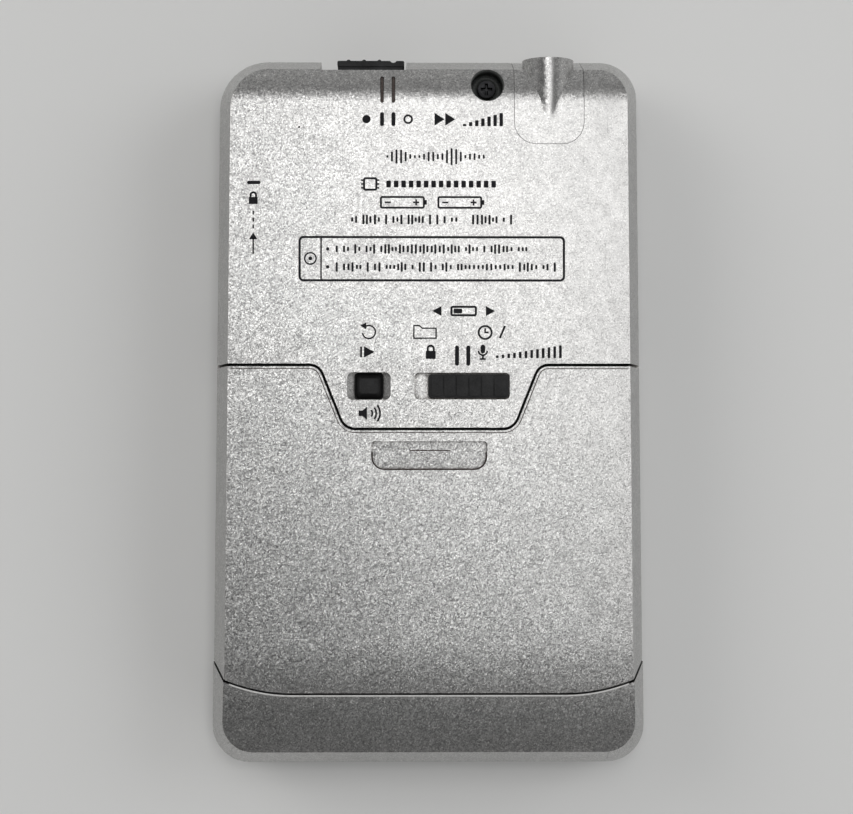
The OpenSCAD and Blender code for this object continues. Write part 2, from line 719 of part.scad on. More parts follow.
module link_contact() { color(steel) {
  box(-cell_x - 2.6, cell_x + 2.6, -43.33, -43.0, 3.4, 5.2);
  for (s = [-1, 1]) box(s*cell_x - 2.6, s*cell_x + 2.6, -43.33, -43.0, 3.4, 9.2);
  translate([cell_x, -43.1, cell_z]) rotate([-90, 0, 0]) cylinder(r1 = 2.2, r2 = 1.4, h = 1.05, $fn = 32);
} }

module link_spring() { color(steel) {
  for (k = [0:1]) translate([-cell_x, -42.95 + k*0.42, cell_z]) rotate([-90, 0, 0]) difference() {
    cylinder(r = 3 - k*0.6, h = 0.46, $fn = 48);
    translate([0, 0, -1]) cylinder(r = 1.9, h = 3, $fn = 48);
  }
} }

// --- screws -------------------------------------------------------------------------

module screw(head_r, head_h, shank_r, shank_l) {
  difference() {
    cylinder(r = head_r, h = head_h, $fn = 48);
    for (a = [0, 90]) rotate([0, 0, a]) translate([-head_r*0.62, -0.17, head_h*0.4]) cube([head_r*1.24, 0.34, 2]);
  }
  translate([0, 0, -shank_l]) cylinder(r = shank_r, h = shank_l + 0.1, $fn = 32);
}

module rear_screw() { color(black) translate([screw_x, screw_y, screw_seat_z]) screw(1.2, 1.1, 0.8, 6); }
module board_screws() { color(steel) {
  for (p = board_screw_at) translate([p[0], p[1], board_top]) screw(1.5, 0.9, 0.7, 4.4);
} }

front_shell();
rear_shell();
battery_cover();
end_cap();
mic_housing();
mic_grille();
mic_boot();
mic_capsule();
speed_knob();
speed_switch();
mode_knob();
mode_switch();
hold_knob();
hold_switch();
replay_button();
record_button();
play_button();
stop_button();
back_button();
forward_button();
erase_button();
tact_switches();
volume_wheel();
volume_control();
earphone_jack();
microphone_jack();
lcd_window();
lcd_module();
lcd_connectors();
lcd_holder();
record_lamp();
main_board();
processor_chip();
memory_chips();
capacitors();
crystal_can();
speaker_frame();
speaker_cone();
speaker_magnet();
speaker_gasket();
battery_frame();
battery_left();
battery_right();
positive_contact();
negative_spring();
link_contact();
link_spring();
rear_screw();
board_screws();
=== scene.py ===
import bpy, bmesh, json, math, random
from mathutils import Matrix, Vector


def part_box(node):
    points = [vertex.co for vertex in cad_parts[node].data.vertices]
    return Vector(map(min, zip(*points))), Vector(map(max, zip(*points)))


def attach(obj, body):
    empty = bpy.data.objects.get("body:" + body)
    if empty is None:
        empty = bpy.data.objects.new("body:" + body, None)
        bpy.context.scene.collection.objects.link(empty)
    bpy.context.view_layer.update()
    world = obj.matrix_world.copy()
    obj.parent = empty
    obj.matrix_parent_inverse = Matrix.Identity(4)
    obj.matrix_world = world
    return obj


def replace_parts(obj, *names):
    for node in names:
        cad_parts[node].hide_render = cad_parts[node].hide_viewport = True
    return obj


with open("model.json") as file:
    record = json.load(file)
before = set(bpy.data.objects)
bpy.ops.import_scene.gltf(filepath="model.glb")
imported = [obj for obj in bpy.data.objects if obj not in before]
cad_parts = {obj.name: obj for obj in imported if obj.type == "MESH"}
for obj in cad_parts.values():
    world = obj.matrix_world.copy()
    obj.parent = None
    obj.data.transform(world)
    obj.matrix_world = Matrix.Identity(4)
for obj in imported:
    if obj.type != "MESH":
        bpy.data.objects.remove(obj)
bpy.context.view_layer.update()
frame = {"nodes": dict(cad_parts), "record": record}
nodes = frame["nodes"]
MM = 0.001


# ---------------------------------------------------------------- places in the frame, in mm
def low_high(name, axis):
    """Both ends of a CAD node along one axis, in mm."""
    low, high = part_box(name)
    return getattr(low, axis) / MM, getattr(high, axis) / MM


def middle(name):
    """The middle of a CAD node's box, in mm."""
    low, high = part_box(name)
    return (low + high) / (2 * MM)


FACE_Z = low_high("rear_shell", "z")[1]         # the flat part of the rear face
LOW_BEND = (-30, 112)                           # where the rear face starts to fall away, and the radius
TOP_BEND = (40, 9)                              # the same towards the microphone's end
BOSS = {"x": 15.72, "rise": 0.0419, "z": 9.37}  # the cone's axis: across, its slope, its height at y = 0
SCREW = middle("rear_screw")
CELL = middle("battery_right")
CELL_ENDS = low_high("battery_right", "y")
SOCKETS = (middle("earphone_jack"), middle("microphone_jack"))
BOARD_TOP = low_high("main_board", "z")[1]
SLIDE_MARKS_X = (-6.16, -4.67)                  # the two places of the speed slide
INK = 0.012                                     # thickness of the printed marks


# ---------------------------------------------------------------- shader helpers
def new_material(name, colour=(0.5, 0.5, 0.5), rough=0.5, metal=0.0):
    """A material, its node tree and its shader, which are m, t and b in what follows."""
    m = bpy.data.materials.new(name)
    m.use_nodes = True
    t = m.node_tree
    b = t.nodes["Principled BSDF"]
    b.inputs["Base Color"].default_value = (*colour, 1)
    b.inputs["Roughness"].default_value = rough
    b.inputs["Metallic"].default_value = metal
    return m, t, b


def node(t, kind, **inputs):
    """A new node with some of its inputs set."""
    n = t.nodes.new(kind)
    for key, value in inputs.items():
        n.inputs[key.replace("_", " ")].default_value = value
    return n


def place(t, stretch=None):
    """Object coordinates in metres, stretched along an axis where asked."""
    source = t.nodes.new("ShaderNodeTexCoord").outputs["Object"]
    if not stretch:
        return source
    m = node(t, "ShaderNodeMapping", Scale=stretch)
    t.links.new(source, m.inputs["Vector"])
    return m.outputs["Vector"]


def noise(t, scale, detail=2.0, stretch=None):
    """Cloudy noise from 0 to 1."""
    n = node(t, "ShaderNodeTexNoise", Scale=scale, Detail=detail)
    t.links.new(place(t, stretch), n.inputs["Vector"])
    return n.outputs["Fac"]


def ramp(t, source, stops, sharp=False):
    """A colour ramp of (position, grey level or colour), with sudden steps where `sharp` is set."""
    r = t.nodes.new("ShaderNodeValToRGB")
    r.color_ramp.interpolation = "CONSTANT" if sharp else "LINEAR"
    while len(r.color_ramp.elements) < len(stops):
        r.color_ramp.elements.new(0.5)
    for e, (pos, c) in zip(r.color_ramp.elements, stops):
        e.position = pos
        e.color = (c, c, c, 1) if isinstance(c, (int, float)) else (*c, 1)
    t.links.new(source, r.inputs["Fac"])
    return r.outputs["Color"]


def calc(t, kind, a, b=0.0):
    """Arithmetic on two values, each a number or a socket."""
    n = t.nodes.new("ShaderNodeMath")
    n.operation = kind
    for socket, value in zip(n.inputs, (a, b)):
        if isinstance(value, (int, float)):
            socket.default_value = value
        else:
            t.links.new(value, socket)
    return n.outputs["Value"]


def blend(t, fac, a, b, kind="MIX"):
    """Goes from a to b as fac goes from 0 to 1."""
    n = t.nodes.new("ShaderNodeMix")
    n.data_type = "RGBA"
    n.blend_type = kind
    for socket, value in ((n.inputs[0], fac), (n.inputs[6], a), (n.inputs[7], b)):
        if isinstance(value, (int, float)):
            socket.default_value = value
        elif isinstance(value, tuple):
            socket.default_value = (*value, 1)
        else:
            t.links.new(value, socket)
    return n.outputs[2]


def bump(t, b, height, strength, distance):
    """Gives the shader a relief, whose depth is in metres."""
    n = node(t, "ShaderNodeBump", Strength=strength, Distance=distance)
    t.links.new(height, n.inputs["Height"])
    t.links.new(n.outputs["Normal"], b.inputs["Normal"])
    return n


def axis_of(t, source, axis):
    """One part of a vector."""
    s = t.nodes.new("ShaderNodeSeparateXYZ")
    t.links.new(source, s.inputs["Vector"])
    return s.outputs[axis]


def alike(t, a, b):
    """How nearly two directions agree."""
    n = t.nodes.new("ShaderNodeVectorMath")
    n.operation = "DOT_PRODUCT"
    t.links.new(a, n.inputs[0])
    t.links.new(b, n.inputs[1])
    return n.outputs["Value"]


def unit_length(t, source):
    n = t.nodes.new("ShaderNodeVectorMath")
    n.operation = "NORMALIZE"
    t.links.new(source, n.inputs[0])
    return n.outputs["Vector"]


def direction_of(t, x, y, z):
    """A direction from its three parts, each a number or a socket."""
    n = t.nodes.new("ShaderNodeCombineXYZ")
    for socket, value in zip(n.inputs, (x, y, z)):
        if isinstance(value, (int, float)):
            socket.default_value = value
        else:
            t.links.new(value, socket)
    return unit_length(t, n.outputs["Vector"])


# ---------------------------------------------------------------- silver paint
def rear_lean(t, y):
    """How far the rear face leans towards the ends of the case, from its two bends."""
    lean = 0.0
    for (bend, r), kind in ((LOW_BEND, "MINIMUM"), (TOP_BEND, "MAXIMUM")):
        past = calc(t, kind, calc(t, "SUBTRACT", y, bend), 0.0)
        lean = calc(t, "ADD", lean, calc(t, "DIVIDE", past, r))
    return lean


def agrees(t, face, flat, limit):
    """1 where a facet lies along the face within a limit, and 0 elsewhere."""
    return calc(t, "GREATER_THAN", alike(t, face, flat), limit)


def face_direction(t):
    """The surface's own direction, made even on the long gentle rear face and round the boss."""
    geometry = t.nodes.new("ShaderNodeNewGeometry").outputs
    own, flat = geometry["Normal"], geometry["True Normal"]
    x, y, z = (calc(t, "MULTIPLY", axis_of(t, place(t), axis), 1 / MM) for axis in "XYZ")
    lean = rear_lean(t, y)
    up = calc(t, "SQRT", calc(t, "SUBTRACT", 1.0, calc(t, "MULTIPLY", lean, lean)))
    face = direction_of(t, 0.0, lean, up)
    # the height above the rear face, which only the boss passes
    fall = calc(t, "MULTIPLY", calc(t, "SUBTRACT", 1.0, up), TOP_BEND[1])
    over = calc(t, "SUBTRACT", z, calc(t, "SUBTRACT", FACE_Z, fall))
    # the boss is a cone; its axis rises slightly towards the end of the case
    axis_z = calc(t, "ADD", calc(t, "MULTIPLY", y, BOSS["rise"]), BOSS["z"])
    boss = direction_of(t, calc(t, "SUBTRACT", x, BOSS["x"]), -0.12, calc(t, "SUBTRACT", z, axis_z))
    on_boss = calc(t, "MULTIPLY", ramp(t, over, [(0.02, 0.0), (0.13, 1.0)]), agrees(t, boss, flat, 0.7))
    # the thumb recess leans a little, and shows it only a little
    softened = blend(t, agrees(t, face, flat, 0.9965), own, blend(t, 0.45, face, own))
    on_face = calc(t, "MAXIMUM", agrees(t, face, flat, 0.9985), calc(t, "GREATER_THAN", over, 0.02))
    return blend(t, on_boss, blend(t, on_face, softened, face), boss)


def flakes(t):
    """A random colour for each flake of the paint."""
    cells = node(t, "ShaderNodeTexVoronoi", Scale=7000.0, Randomness=1.0)
    t.links.new(place(t), cells.inputs["Vector"])
    return cells.outputs["Color"]


def flake_tone(t, flake):
    split = t.nodes.new("ShaderNodeSeparateColor")
    t.links.new(flake, split.inputs["Color"])
    return ramp(t, split.outputs["Red"], [(0.0, (0.29, 0.287, 0.282)), (0.4, (0.41, 0.406, 0.40)),
                                          (0.85, (0.51, 0.505, 0.495)), (1.0, (0.68, 0.675, 0.66))])


def painted_crease_shade(t, direction):
    """Painted shade: the paint darkened in creases, in recesses and along edges that meet, where the space
    round it is closed in.
    """
    crease = node(t, "ShaderNodeAmbientOcclusion", Distance=0.9 * MM)
    crease.samples = 8
    t.links.new(direction, crease.inputs["Normal"])
    return ramp(t, crease.outputs["AO"], [(0.25, (0.16, 0.15, 0.14)), (0.5, (0.5, 0.49, 0.48)), (0.85, 1.0)])


def flake_tilt(t, flake, direction, most=0.05):
    """The surface's direction with a small random tilt for each flake."""
    tilt = t.nodes.new("ShaderNodeVectorMath")
    tilt.operation = "MULTIPLY_ADD"
    t.links.new(flake, tilt.inputs[0])
    tilt.inputs[1].default_value = (2 * most,) * 3
    tilt.inputs[2].default_value = (-most,) * 3
    total = t.nodes.new("ShaderNodeVectorMath")
    total.operation = "ADD"
    t.links.new(tilt.outputs["Vector"], total.inputs[0])
    t.links.new(direction, total.inputs[1])
    return unit_length(t, total.outputs["Vector"])


def silver_paint():
    """Silver paint with coarse flakes: each flake has its own tone and its own tilt."""
    m, t, b = new_material("silver_paint", metal=0.9)
    flake = flakes(t)
    direction = face_direction(t)
    # the flakes' tone, times the painted shade in the creases
    tone = blend(t, 1.0, flake_tone(t, flake), painted_crease_shade(t, direction), "MULTIPLY")
    cloud = ramp(t, noise(t, 900.0, 3.0), [(0.3, 0.9), (0.7, 1.06)])
    t.links.new(blend(t, 1.0, tone, cloud, "MULTIPLY"), b.inputs["Base Color"])
    # a soft orange peel and a few fine scratches
    scratch = ramp(t, noise(t, 60.0, 1.0, (30.0, 1.6, 30.0)), [(0.72, 0.0), (0.75, 1.0)])
    skin = bump(t, b, calc(t, "SUBTRACT", noise(t, 2400.0, 2.0), scratch), 0.25, 0.00003)
    t.links.new(flake_tilt(t, flake, direction), skin.inputs["Normal"])
    t.links.new(ramp(t, noise(t, 320.0, 3.0), [(0.3, 0.285), (0.7, 0.32)]), b.inputs["Roughness"])
    b.inputs["Coat Weight"].default_value = 0.08
    b.inputs["Coat Roughness"].default_value = 0.3
    return m


# ---------------------------------------------------------------- other materials
def plastic(name, colour, rough=0.45, grain=5200.0, depth=0.3, spread=0.35, shine=0.5):
    """Moulded plastic with a spark-eroded texture and slightly uneven colour."""
    m, t, b = new_material(name, colour, rough)
    b.inputs["Specular IOR Level"].default_value = shine
    n = noise(t, grain, 3.0)
    low = tuple(c * (1 - spread) for c in colour)
    high = tuple(c * (1 + spread) for c in colour)
    t.links.new(ramp(t, n, [(0.3, low), (0.7, high)]), b.inputs["Base Color"])
    uneven = ramp(t, noise(t, 700.0, 3.0), [(0.3, rough - 0.06), (0.7, rough + 0.08)])
    t.links.new(uneven, b.inputs["Roughness"])
    bump(t, b, n, depth, 0.00002)
    return m


def metal(name, colour, rough=0.3, stretch=(1, 14, 1), grain=2600.0):
    """Drawn or stamped metal with fine lines along one axis and a few dull patches."""
    m, t, b = new_material(name, colour, rough, 1.0)
    lines = noise(t, grain, 3.0, stretch)
    dull = tuple(c * 0.72 for c in colour)
    t.links.new(ramp(t, lines, [(0.25, dull), (0.75, colour)]), b.inputs["Base Color"])
    t.links.new(ramp(t, noise(t, 500.0, 4.0), [(0.3, rough), (0.75, rough + 0.2)]), b.inputs["Roughness"])
    bump(t, b, lines, 0.25, 0.00001)
    return m


def rubber():
    """Dull black rubber with a little dust on it."""
    m = plastic("black_rubber", (0.018, 0.018, 0.018), 0.8, 9000.0, 0.5)
    m.node_tree.nodes["Principled BSDF"].inputs["Sheen Weight"].default_value = 0.2
    return m


def clear_plastic():
    """Clear acrylic with faint smears."""
    m, t, b = new_material("clear_plastic", (0.94, 0.96, 0.95), 0.04)
    b.inputs["Transmission Weight"].default_value = 1.0
    b.inputs["IOR"].default_value = 1.49
    t.links.new(ramp(t, noise(t, 400.0, 4.0), [(0.45, 0.02), (0.8, 0.12)]), b.inputs["Roughness"])
    return m


def lcd_glass():
    """A reflective display: grey-green with its faint grid of pixels."""
    m, t, b = new_material("lcd_glass", (0.36, 0.42, 0.35), 0.22)
    grid = node(t, "ShaderNodeTexBrick", Scale=1600.0, Mortar_Size=0.04, Brick_Width=0.5, Row_Height=0.5)
    grid.offset = 0.0
    grid.inputs["Color1"].default_value = (0.40, 0.46, 0.38, 1)
    grid.inputs["Color2"].default_value = (0.38, 0.445, 0.365, 1)
    grid.inputs["Mortar"].default_value = (0.31, 0.37, 0.31, 1)
    t.links.new(place(t), grid.inputs["Vector"])
    t.links.new(grid.outputs["Color"], b.inputs["Base Color"])
    b.inputs["Coat Weight"].default_value = 0.6
    return m


def layered_rubber():
    """The display's connector strips: thin conducting layers between soft rubber."""
    m, t, b = new_material("pink_rubber", (0.6, 0.25, 0.3), 0.6)
    w = node(t, "ShaderNodeTexWave", Scale=1400.0, Distortion=0.4)
    t.links.new(place(t), w.inputs["Vector"])
    t.links.new(ramp(t, w.outputs["Fac"], [(0.4, (0.62, 0.24, 0.3)), (0.6, (0.12, 0.07, 0.08))]),
                b.inputs["Base Color"])
    bump(t, b, w.outputs["Fac"], 0.2, 0.00002)
    return m


def board_green():
    """Solder resist over copper tracks."""
    m, t, b = new_material("green_board", (0.03, 0.16, 0.07), 0.35)
    cells = node(t, "ShaderNodeTexVoronoi", Scale=620.0, Randomness=0.55)
    cells.distance = "CHEBYCHEV"
    t.links.new(place(t), cells.inputs["Vector"])
    tracks = ramp(t, cells.outputs["Distance"], [(0.42, 0.0), (0.46, 1.0), (0.52, 1.0), (0.56, 0.0)])
    t.links.new(blend(t, tracks, (0.012, 0.10, 0.045), (0.05, 0.24, 0.10)), b.inputs["Base Color"])
    b.inputs["Coat Weight"].default_value = 0.4
    bump(t, b, tracks, 0.4, 0.00003)
    return m


def can(name, sleeve):
    """A can with a plastic sleeve round it and bare metal on its ends."""
    m, t, b = new_material(name, sleeve, 0.35)
    up = axis_of(t, t.nodes.new("ShaderNodeNewGeometry").outputs["Normal"], "Z")
    top = calc(t, "GREATER_THAN", up, 0.6)
    t.links.new(blend(t, top, sleeve, (0.62, 0.62, 0.63)), b.inputs["Base Color"])
    t.links.new(top, b.inputs["Metallic"])
    bump(t, b, noise(t, 2500.0, 3.0), 0.2, 0.00002)
    return m


def cell_jacket():
    """A dry cell: steel ends, a plain dark jacket and a pale band at one end."""
    m, t, b = new_material("cell_jacket", metal=0.85)
    spot = place(t)
    x, y = axis_of(t, spot, "X"), calc(t, "MULTIPLY", axis_of(t, spot, "Y"), 1 / MM)
    low, high = CELL_ENDS
    # the right cell lies the other way
    right = calc(t, "GREATER_THAN", x, 0.0)
    along = blend(t, right, calc(t, "SUBTRACT", y, low), calc(t, "SUBTRACT", high, y))
    steel, jacket, pale = (0.6, 0.6, 0.6), (0.03, 0.03, 0.034), (0.42, 0.44, 0.46)
    span = 45.0                                 # the stops are parts of this length, in mm
    band = ramp(t, calc(t, "DIVIDE", along, span),
                [(0.0, steel), (0.012, jacket), (0.885, pale), (0.955, jacket), (0.962, (0.65, 0.65, 0.65))],
                sharp=True)
    wear = ramp(t, noise(t, 900.0, 5.0), [(0.35, 0.86), (0.7, 1.05)])
    t.links.new(blend(t, 1.0, band, wear, "MULTIPLY"), b.inputs["Base Color"])
    t.links.new(ramp(t, noise(t, 260.0, 4.0), [(0.3, 0.22), (0.7, 0.38)]), b.inputs["Roughness"])
    bump(t, b, noise(t, 1500.0, 2.0), 0.12, 0.00002)
    return m


def paper_cone():
    """The loudspeaker's cone: dark paper with long fibres."""
    m, t, b = new_material("cone_film", (0.03, 0.03, 0.03), 0.75)
    fibres = noise(t, 1600.0, 5.0, (3, 1, 1))
    t.links.new(ramp(t, fibres, [(0.3, 0.018), (0.7, 0.06)]), b.inputs["Base Color"])
    bump(t, b, fibres, 0.5, 0.00004)
    return m


MATERIALS = {
    "silver_paint": silver_paint(),
    "black_plastic": plastic("black_plastic", (0.012, 0.012, 0.0125), 0.5, shine=0.3),
    "black_rubber": rubber(),
    "steel": metal("steel", (0.62, 0.62, 0.63)),
    "red_plastic": plastic("red_plastic", (0.5, 0.02, 0.018), 0.35),
    "switch_plastic": plastic("switch_plastic", (0.05, 0.05, 0.055), 0.5),
    "clear_plastic": clear_plastic(),
    "lcd_glass": lcd_glass(),
    "pink_rubber": layered_rubber(),
    "white_plastic": plastic("white_plastic", (0.7, 0.69, 0.66), 0.5, spread=0.05),
    "red_clear": plastic("red_clear", (0.55, 0.03, 0.02), 0.15, 1500.0, 0.1),
    "green_board": board_green(),
    "chip_black": plastic("chip_black", (0.028, 0.028, 0.03), 0.55, 7000.0, 0.5),
    "capacitor_can": can("capacitor_can", (0.03, 0.035, 0.09)),
    "cone_film": paper_cone(),
    "magnet_steel": metal("magnet_steel", (0.5, 0.5, 0.52), 0.35, (1, 1, 1), 1500.0),
    "cell_jacket": cell_jacket(),
    "spring_steel": metal("spring_steel", (0.72, 0.71, 0.69), 0.2),
    "black_steel": metal("black_steel", (0.035, 0.035, 0.037), 0.38, (1, 1, 1), 2200.0),
}
ink_black = plastic("ink", (0.016, 0.016, 0.018), 0.7, 6000.0, 0.2, shine=0.12)
# dark brown: the fill of the engraved marks and the line over the door's arrow, and painted shade along the
# door's rim and the recess's low edge
dark_brown_and_painted_shade = plastic("dark_brown_and_painted_shade", (0.075, 0.06, 0.055), 0.6, 3000.0, 0.3, 0.3, 0.2)
# pale: the painted highlight on the end cap's lip
painted_edge_highlight = plastic("painted_edge_highlight", (0.62, 0.615, 0.6), 0.35, 2600.0, 0.2, 0.12)
# dark grey: unpainted plastic in the screw hole, partly painted shade of the deep hole
well_grey = plastic("well_grey", (0.10, 0.105, 0.10), 0.5)
tin = metal("tin", (0.75, 0.75, 0.74), 0.28, (1, 1, 1), 3000.0)
lcd_ink = plastic("lcd_ink", (0.05, 0.06, 0.055), 0.3, 5000.0, 0.0)
white_ink = plastic("white_ink", (0.75, 0.75, 0.73), 0.5, 5000.0, 0.1, 0.05)


# ---------------------------------------------------------------- finish of each CAD node
def dress(name, edge):
    """Gives a CAD node its material, joins its split corners and rounds its edges."""
    o = nodes[name]
    slot = next(s["material_slot"] for s in frame["record"]["subparts"] if s["node"] == name)
    o.data.materials.clear()
    o.data.materials.append(MATERIALS[slot])
    for p in o.data.polygons:
        p.use_smooth = True
    weld = o.modifiers.new("weld", "WELD")
    weld.merge_threshold = 0.000002
    if slot != "silver_paint":
        flat = o.modifiers.new("flat", "DECIMATE")
        flat.decimate_type = "DISSOLVE"
        flat.angle_limit = math.radians(0.15)
    bev = o.modifiers.new("edge", "BEVEL")
    bev.width = edge * MM
    bev.segments = 2
    bev.limit_method = "ANGLE"
    bev.angle_limit = math.radians(25)
    bev.use_clamp_overlap = True
    even = o.modifiers.new("normals", "WEIGHTED_NORMAL")
    even.keep_sharp = False
    even.weight = 80


# how far the edges are rounded, in mm; all the others get 0.06
EDGES = {"front_shell": 0.12, "rear_shell": 0.1, "battery_cover": 0.1, "end_cap": 0.12,
         "mic_housing": 0.1, "lcd_window": 0.1, "speaker_frame": 0.15, "mode_knob": 0.12,
         "replay_button": 0.15, "speed_knob": 0.08}
for part in nodes:
    dress(part, EDGES.get(part, 0.06))


# ---------------------------------------------------------------- flat marks and small pieces
def arc(cx, cy, r, a0, a1, n=16):
    """Points along an arc, from one angle to another in degrees."""
    angles = (math.radians(a0 + (a1 - a0) * i / n) for i in range(n + 1))
    return [(cx + r * math.cos(a), cy + r * math.sin(a)) for a in angles]


def round_box(x0, x1, y0, y1, r):
    """The outline of a box with round corners."""
    return (arc(x1 - r, y1 - r, r, 0, 90, 4) + arc(x0 + r, y1 - r, r, 90, 180, 4)
            + arc(x0 + r, y0 + r, r, 180, 270, 4) + arc(x1 - r, y0 + r, r, 270, 360, 4))


class Marks:
    """Flat shapes in mm, each of them a thin closed slab, gathered into one mesh."""

    def __init__(self, z=None, down=False):
        """Marks on a level surface at height z, on its lower side where `down` is set."""
        self.bm = bmesh.new()
        z = FACE_Z if z is None else z
        self.z0, self.z1 = (z - INK, z + 0.004) if down else (z - 0.004, z + INK)

    def solid(self, loop, z0, z1):
        """A slab between two heights."""
        top = [self.bm.verts.new((x * MM, y * MM, z1 * MM)) for x, y in loop]
        low = [self.bm.verts.new((x * MM, y * MM, z0 * MM)) for x, y in loop]
        self.bm.faces.new(top)
        self.bm.faces.new(low[::-1])
        for i in range(len(loop)):
            j = (i + 1) % len(loop)
            self.bm.faces.new((low[i], low[j], top[j], top[i]))

    def block(self, x0, x1, y0, y1, z0, z1):
        """A box with its own heights."""
        self.solid([(x0, y0), (x1, y0), (x1, y1), (x0, y1)], z0, z1)

    def face(self, loop):
        """A filled outline."""
        self.solid(loop, self.z0, self.z1)

    def bar(self, x0, x1, y0, y1, r=None):
        """A filled box with round corners, or with round ends where no radius is given."""
        r = min(x1 - x0, y1 - y0) / 2.01 if r is None else r
        self.face(round_box(x0, x1, y0, y1, r))

    def disc(self, x, y, r):
        self.face(arc(x, y, r, 0, 337.5, 15))

    def line(self, points, w=0.2, closed=False):
        """A line of even width."""
        self.ribbon(points, w, self.z0, self.z1, closed)

    def ribbon(self, points, w, z0, z1, closed=False):
        """A closed ribbon of even width along the points, with mitred corners."""
        pts = [Vector(p) for p in points]
        n = len(pts)
        left, right = [], []
        for i, p in enumerate(pts):
            before = pts[i - 1] if (i or closed) else None
            after = pts[(i + 1) % n] if (i < n - 1 or closed) else None
            d0 = (p - before).normalized() if before is not None else (after - p).normalized()
            d1 = (after - p).normalized() if after is not None else d0
            side = Vector((-(d0 + d1).y, (d0 + d1).x)).normalized()
            reach = w / 2 / max(0.35, side.dot(Vector((-d1.y, d1.x))))
            left.append(tuple(p + side * reach))
            right.append(tuple(p - side * reach))
        rows = [[self.bm.verts.new((x * MM, y * MM, z * MM)) for (x, y), z in
                 ((a, z0), (b, z0), (b, z1), (a, z1))] for a, b in zip(right, left)]
        for i in range(n if closed else n - 1):
            a, b = rows[i], rows[(i + 1) % n]
            for k in range(4):
                self.bm.faces.new((a[k], a[(k + 1) % 4], b[(k + 1) % 4], b[k]))
        if not closed:
            self.bm.faces.new(rows[0][::-1])
            self.bm.faces.new(rows[-1])

    def ring(self, x, y, r, w=0.2):
        self.line(arc(x, y, r, 0, 345, 23), w, closed=True)

    def frame(self, x0, x1, y0, y1, r=0.4, w=0.2):
        """The outline of a box with round corners."""
        self.line(round_box(x0, x1, y0, y1, r), w, closed=True)

    def triangle(self, x, y, w, h):
        """A triangle that points along X, or against it where w is negative."""
        self.face([(x, y - h / 2), (x + w, y), (x, y + h / 2)])

    def piece(self, name, body, material, slot):
        """Makes one piece of all the marks."""
        bmesh.ops.recalc_face_normals(self.bm, faces=self.bm.faces)
        return add_piece(name, self.bm, body, material)


def add_piece(name, bm, body, material, smooth=False):
    """Makes a piece from a mesh and hangs it on a body of the frame."""
    mesh = bpy.data.meshes.new(name)
    bm.to_mesh(mesh)
    bm.free()
    mesh.materials.append(material)
    for p in mesh.polygons:
        p.use_smooth = smooth
    o = bpy.data.objects.new(name, mesh)
    bpy.context.scene.collection.objects.link(o)
    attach(o, body)
    return o


# ---------------------------------------------------------------- print on the rear face
def microphone(p, x, y, h):
    """A microphone on its stand."""
    stroke = 0.22
    p.bar(x - h * 0.16, x + h * 0.16, y - h * 0.1, y + h * 0.5)
    p.line(arc(x, y + h * 0.08, h * 0.3, 180, 360, 10), stroke)
    p.line([(x, y - h * 0.22), (x, y - h * 0.48)], stroke)
    p.line([(x - h * 0.2, y - h * 0.48), (x + h * 0.2, y - h * 0.48)], stroke)


def padlock(p, x, y, h):
    """A closed padlock."""
    half = h * 0.22
    p.bar(x - h * 0.36, x + h * 0.36, y - h * 0.5, y + h * 0.08, 0.1)
    bow = arc(x, y + h * 0.24, half, 180, 0, 8)
    p.line([(x - half, y + h * 0.05)] + bow + [(x + half, y + h * 0.05)], 0.26)


def cell_sign(p, x, y, w, h):
    """A cell with its poles, seen from the side."""
    stroke = 0.22
    plus = x + w - 1.0
    p.frame(x, x + w, y - h / 2, y + h / 2, 0.2, 0.26)
    p.bar(x + w + 0.05, x + w + 0.4, y - h * 0.22, y + h * 0.22, 0.05)
    p.line([(plus - 0.4, y), (plus + 0.4, y)], stroke)
    p.line([(plus, y - 0.4), (plus, y - 0.09)], stroke)
    p.line([(plus, y + 0.09), (plus, y + 0.4)], stroke)
    p.line([(x + 0.5, y), (x + 1.3, y)], stroke)


def dashes(p, x0, x1, y, h, seed, w=0.28):
    """A plain line of short upright strokes in place of a line of print."""
    rnd = random.Random(seed)
    x = x0
    while x < x1:
        tall = h * rnd.choice((0.45, 0.7, 1.0))
        p.bar(x, x + w, y - tall / 2, y + tall / 2, w * 0.45)
        x += rnd.choice((0.46, 0.52, 0.58, 0.95))


def rising_scale(p, x, y, n, step, w, low, rise):
    """A row of bars on one line, each a little taller than the last."""
    for k in range(n):
        p.bar(x + k * step, x + w + k * step, y, y + low + k * rise, 0.1)


def speed_signs(p):
    """The slow and fast signs below the speed slide, and a rising scale."""
    row = 37.95
    for x in SLIDE_MARKS_X:
        p.bar(x - 0.26, x + 0.26, row - 0.91, row + 0.92)
    p.disc(-8.2, row, 0.55)
    p.ring(-2.75, row, 0.5, 0.26)
    for x in (0.7, 2.1):
        p.triangle(x, row, 1.3, 1.7)
    rising_scale(p, 4.4, row - 0.9, 7, 0.8, 0.45, 0.3, 0.24)


def sound_wave(p):
    """A wave of upright strokes in the title's place."""
    x, row, step = -5.6, 33.05, 0.6
    for k in range(22):
        tall = 0.35 + 1.9 * abs(math.sin(k * 0.55) * math.cos(k * 0.23))
        p.bar(x + k * step, x + 0.26 + k * step, row - tall / 2, row + tall / 2)


def memory_signs(p):
    """A chip with its pins, a level scale, two cells and two lines of dashes."""
    p.frame(-8.5, -6.9, 28.7, 30.2, 0.2, 0.28)
    for k in range(3):
        y = 28.95 + k * 0.5
        for side in (-8.9, -6.75):
            p.line([(side, y), (side + 0.25, y)], 0.22)
    for k in range(15):
        x = -5.6 + k * 0.98
        p.bar(x, x + 0.6, 29.0, 29.9, 0.12)
    for x in (-6.3, 1.2):
        cell_sign(p, x, 27.05, 5.6, 1.4)
    dashes(p, -10.2, 3.6, 24.8, 1.3, 3)
    dashes(p, 5.6, 10.9, 24.8, 1.3, 5)


